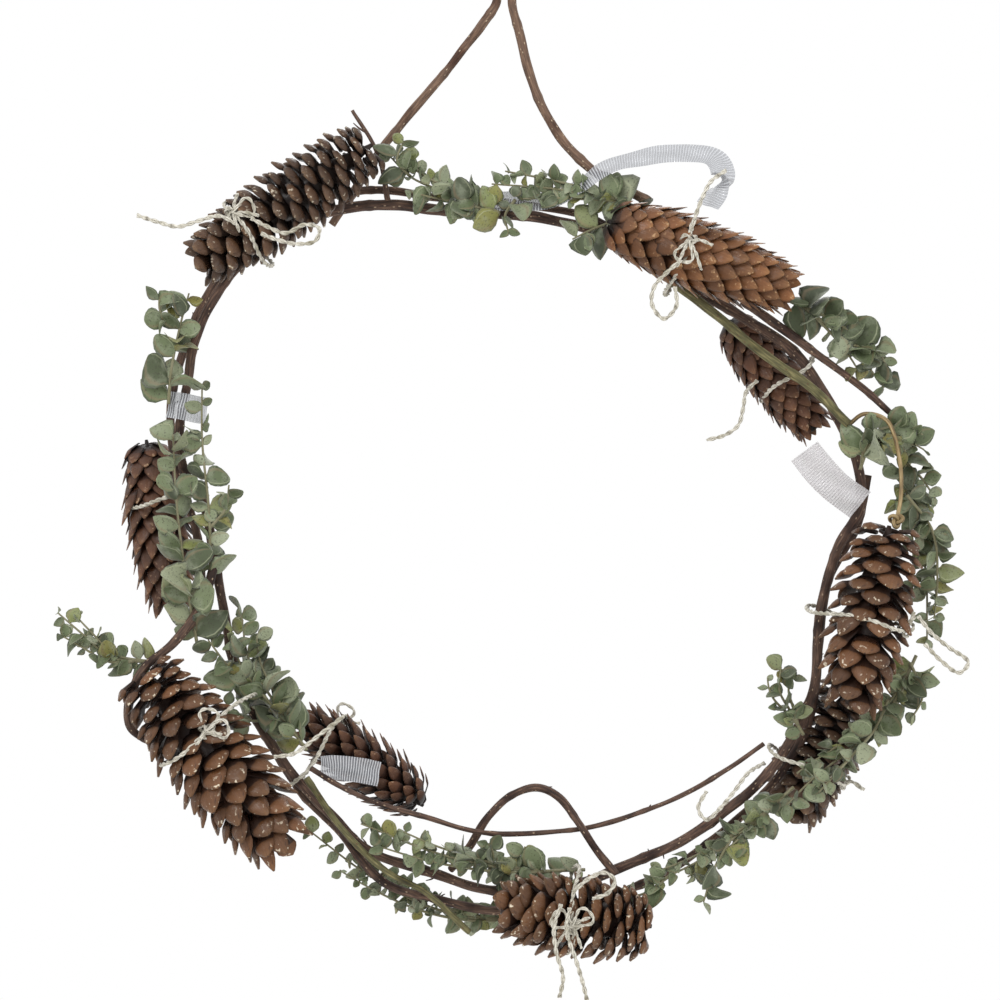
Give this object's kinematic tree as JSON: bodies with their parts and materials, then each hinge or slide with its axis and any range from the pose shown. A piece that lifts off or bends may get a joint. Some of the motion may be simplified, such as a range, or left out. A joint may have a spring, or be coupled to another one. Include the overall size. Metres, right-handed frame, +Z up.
{
  "type": "pinecone wreath",
  "caption": "Vine wreath hung from a bent vine loop, with open pine and long spruce cones tied on with twine, eucalyptus sprigs and a gauze ribbon.",
  "frame": {"origin": "under the top bend of the vine hanger, where the nail or hook carries the wreath", "axes": "+Z up, +X to the right seen from the front, the front faces -Y"},
  "size_m": [0.5328, 0.1232, 0.6463],
  "materials": {
    "vine_bark": "dry brown bark with pale specks",
    "green_cane": "smooth green to straw cane",
    "pine_scales": "dry woody scales with tan tips and pale resin",
    "spruce_scales": "smooth papery scales, warm brown",
    "eucalyptus_leaf": "dried grey-green leaf with a dull bloom",
    "twine": "twisted natural twine",
    "raffia": "flat dry raffia",
    "gauze_ribbon": "sheer ribbed silver-white gauze with sparkle"
  },
  "bodies": {
    "root": {"hanger_vine": "vine_bark", "vine_main": "vine_bark", "vine_second": "vine_bark", "vine_third": "vine_bark", "vine_inner_arc": "vine_bark", "vine_bottom_loop": "vine_bark", "branch_broken": "vine_bark", "branch_frayed": "vine_bark", "twig_top": "vine_bark", "cane_upper": "green_cane", "cane_lower": "green_cane", "twine_tie_top_left": "twine", "twine_tie_top_right": "twine", "twine_tie_inner_right": "twine", "twine_tie_right": "twine", "twine_tie_lower_right": "twine", "twine_tie_bottom": "twine", "twine_tie_bottom_left": "twine", "twine_tie_lower_left": "twine", "twine_tie_left": "twine", "raffia_tie": "raffia", "pine_cone_top_left": "pine_scales", "spruce_cone_top_right": "spruce_scales", "spruce_cone_inner_right": "spruce_scales", "pine_cone_right": "pine_scales", "pine_cone_lower_right": "pine_scales", "pine_cone_bottom": "pine_scales", "spruce_cone_bottom_left": "spruce_scales", "pine_cone_lower_left": "pine_scales", "spruce_cone_left": "spruce_scales", "twine_top_left_tail": "twine", "twine_top_left_bow": "twine", "twine_top_right_low": "twine", "twine_top_right_up": "twine", "twine_inner_right_tail": "twine", "twine_right_bow": "twine", "twine_lower_right_bow": "twine", "twine_bottom_long_tail": "twine", "twine_bottom_short_tail": "twine", "twine_bottom_bow": "twine", "twine_lower_left_tail": "twine", "ribbon_top_right": "gauze_ribbon", "ribbon_right": "gauze_ribbon", "ribbon_lower_left": "gauze_ribbon", "ribbon_left": "gauze_ribbon", "eucalyptus_top_left": "eucalyptus_leaf", "eucalyptus_top_right": "eucalyptus_leaf", "eucalyptus_upper_right": "eucalyptus_leaf", "eucalyptus_right_round": "eucalyptus_leaf", "eucalyptus_right_outer": "eucalyptus_leaf", "eucalyptus_right_lower": "eucalyptus_leaf", "eucalyptus_inner_right": "eucalyptus_leaf", "eucalyptus_lower_right": "eucalyptus_leaf", "eucalyptus_bottom": "eucalyptus_leaf", "eucalyptus_bottom_low": "eucalyptus_leaf", "eucalyptus_lower_left": "eucalyptus_leaf", "eucalyptus_left_outer": "eucalyptus_leaf", "eucalyptus_left_inner": "eucalyptus_leaf", "eucalyptus_left_top": "eucalyptus_leaf", "eucalyptus_far_left": "eucalyptus_leaf"}
  },
  "joints": []
}
